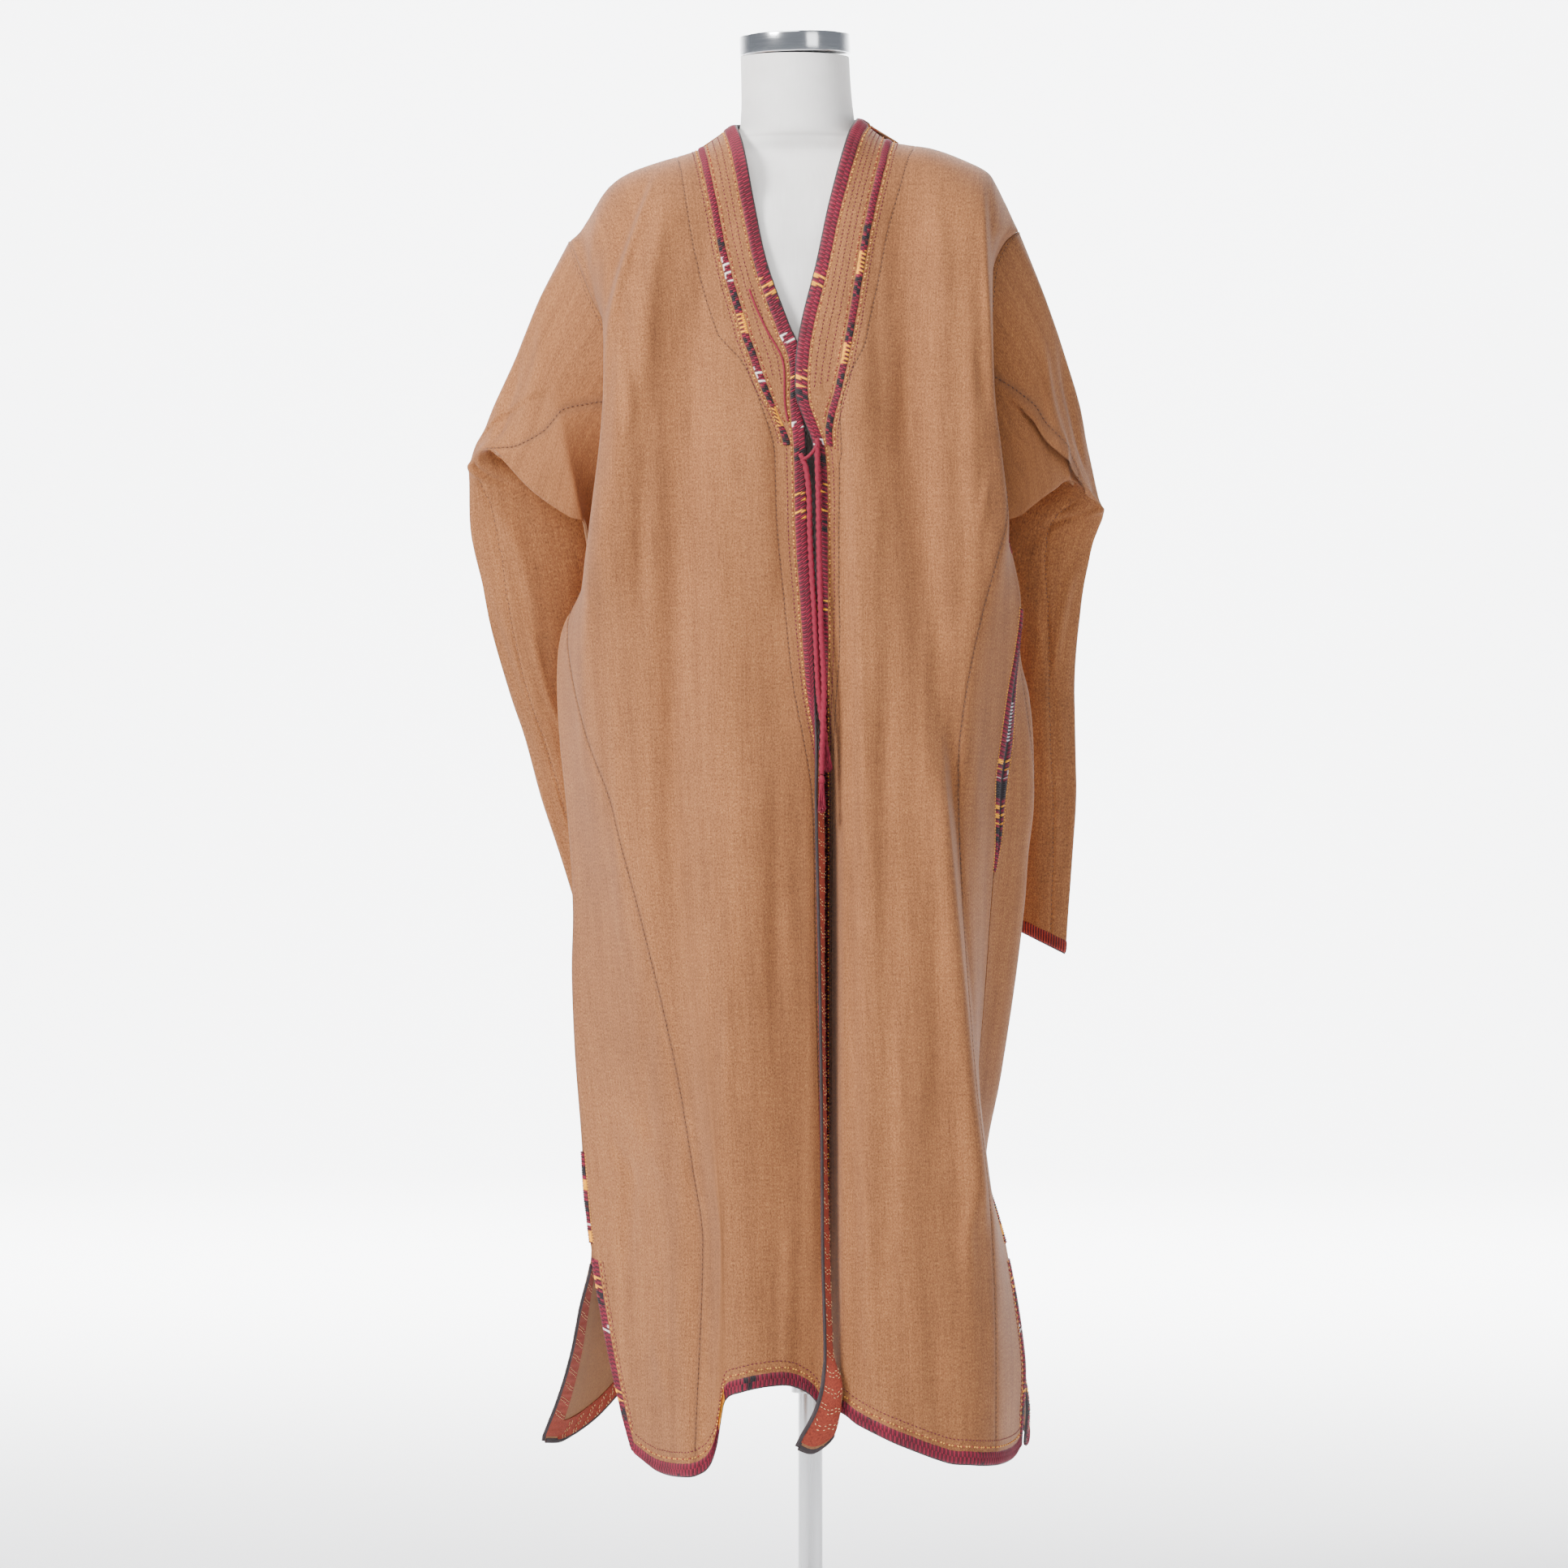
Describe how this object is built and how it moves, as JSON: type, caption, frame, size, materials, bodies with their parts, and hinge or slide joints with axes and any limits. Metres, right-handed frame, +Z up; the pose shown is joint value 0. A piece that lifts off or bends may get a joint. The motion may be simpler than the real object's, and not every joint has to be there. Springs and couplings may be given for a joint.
{
  "type": "chapan coat on a dress form",
  "caption": "Long open-fronted wool robe with gusseted sleeves, gored skirt, embroidered braids and tie cords, on a limbless cloth-covered form with a pole and round base.",
  "frame": {"origin": "centre of the base's underside, on the pole's axis", "axes": "+Z up the pole; the coat's front opening faces -Y; the wearer's right side lies at -X"},
  "size_m": [0.6063, 0.3754, 1.5502],
  "materials": {
    "fabric_wool": "camel plain weave",
    "fabric_crimson": "crimson braid and stitching",
    "fabric_facing": "red woven facing",
    "linen": "off-white stretched cloth",
    "chrome": "polished",
    "steel": "brushed"
  },
  "bodies": {
    "root": {"right_front": "fabric_wool", "right_front_gore": "fabric_wool", "left_front": "fabric_wool", "left_front_gore": "fabric_wool", "back": "fabric_wool", "right_back_gore": "fabric_wool", "left_back_gore": "fabric_wool", "right_sleeve": "fabric_wool", "left_sleeve": "fabric_wool", "right_gusset": "fabric_wool", "left_gusset": "fabric_wool", "collar": "fabric_wool", "right_edge_braid": "fabric_crimson", "left_edge_braid": "fabric_crimson", "right_neck_braid": "fabric_crimson", "left_neck_braid": "fabric_crimson", "right_hem_binding": "fabric_crimson", "left_hem_binding": "fabric_crimson", "back_hem_binding": "fabric_crimson", "right_slit_braid": "fabric_crimson", "left_slit_braid": "fabric_crimson", "right_back_slit_braid": "fabric_crimson", "left_back_slit_braid": "fabric_crimson", "left_pocket_binding": "fabric_crimson", "right_side_embroidery": "fabric_crimson", "left_side_embroidery": "fabric_crimson", "collar_braid": "fabric_crimson", "collar_facing": "fabric_crimson", "right_tie": "fabric_crimson", "left_tie": "fabric_crimson", "right_tassel": "fabric_crimson", "left_tassel": "fabric_crimson", "right_cuff_binding": "fabric_facing", "left_cuff_binding": "fabric_facing", "right_front_facing": "fabric_facing", "right_back_slit_facing": "fabric_facing", "right_back_hem_facing": "fabric_facing", "form_torso": "linen", "neck_cap": "chrome", "base": "steel", "pole": "steel", "pole_collar": "steel"}
  },
  "joints": []
}
